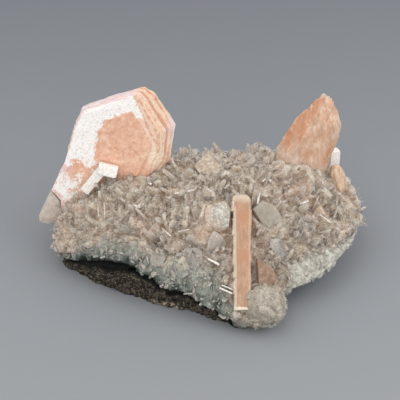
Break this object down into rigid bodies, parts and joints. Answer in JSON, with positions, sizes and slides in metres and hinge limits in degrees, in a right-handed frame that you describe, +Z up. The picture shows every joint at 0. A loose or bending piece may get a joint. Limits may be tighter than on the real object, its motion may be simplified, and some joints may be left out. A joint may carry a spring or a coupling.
{
  "type": "apophyllite cluster",
  "caption": "Loose mineral specimen: a crust of small clear crystals on green-grey chalcedony and dark basalt, with large peach stilbite crystals standing out of it.",
  "frame": {"origin": "on the flat resting face, on z = 0, under the middle of the specimen", "axes": "+X to the right and +Y away from someone who faces the basalt edge, +Z up"},
  "size_m": [0.1062, 0.0665, 0.0536],
  "materials": {
    "basalt": "rough, pitted, matt dark rock",
    "chalcedony": "fine granular, waxy green-grey",
    "druse": "milky translucent taupe crystals with bright faces",
    "stilbite": "peach, translucent, pearly on its broad faces",
    "clear_apophyllite": "clear to slightly cloudy, glassy",
    "white_apophyllite": "white, pearly to glassy"
  },
  "bodies": {
    "root": {"basalt_matrix": "basalt", "chalcedony_layer": "chalcedony", "druse_crust": "druse", "stilbite_large": "stilbite", "stilbite_pointed": "stilbite", "stilbite_blade": "stilbite", "stilbite_barrel": "stilbite", "pink_crystal_front": "stilbite", "clear_crystal_left": "clear_apophyllite", "mint_crystal": "clear_apophyllite", "cream_plate_rear": "white_apophyllite", "white_twin_left": "white_apophyllite", "white_crystal_front": "white_apophyllite", "white_crystal_right": "white_apophyllite"}
  },
  "joints": []
}
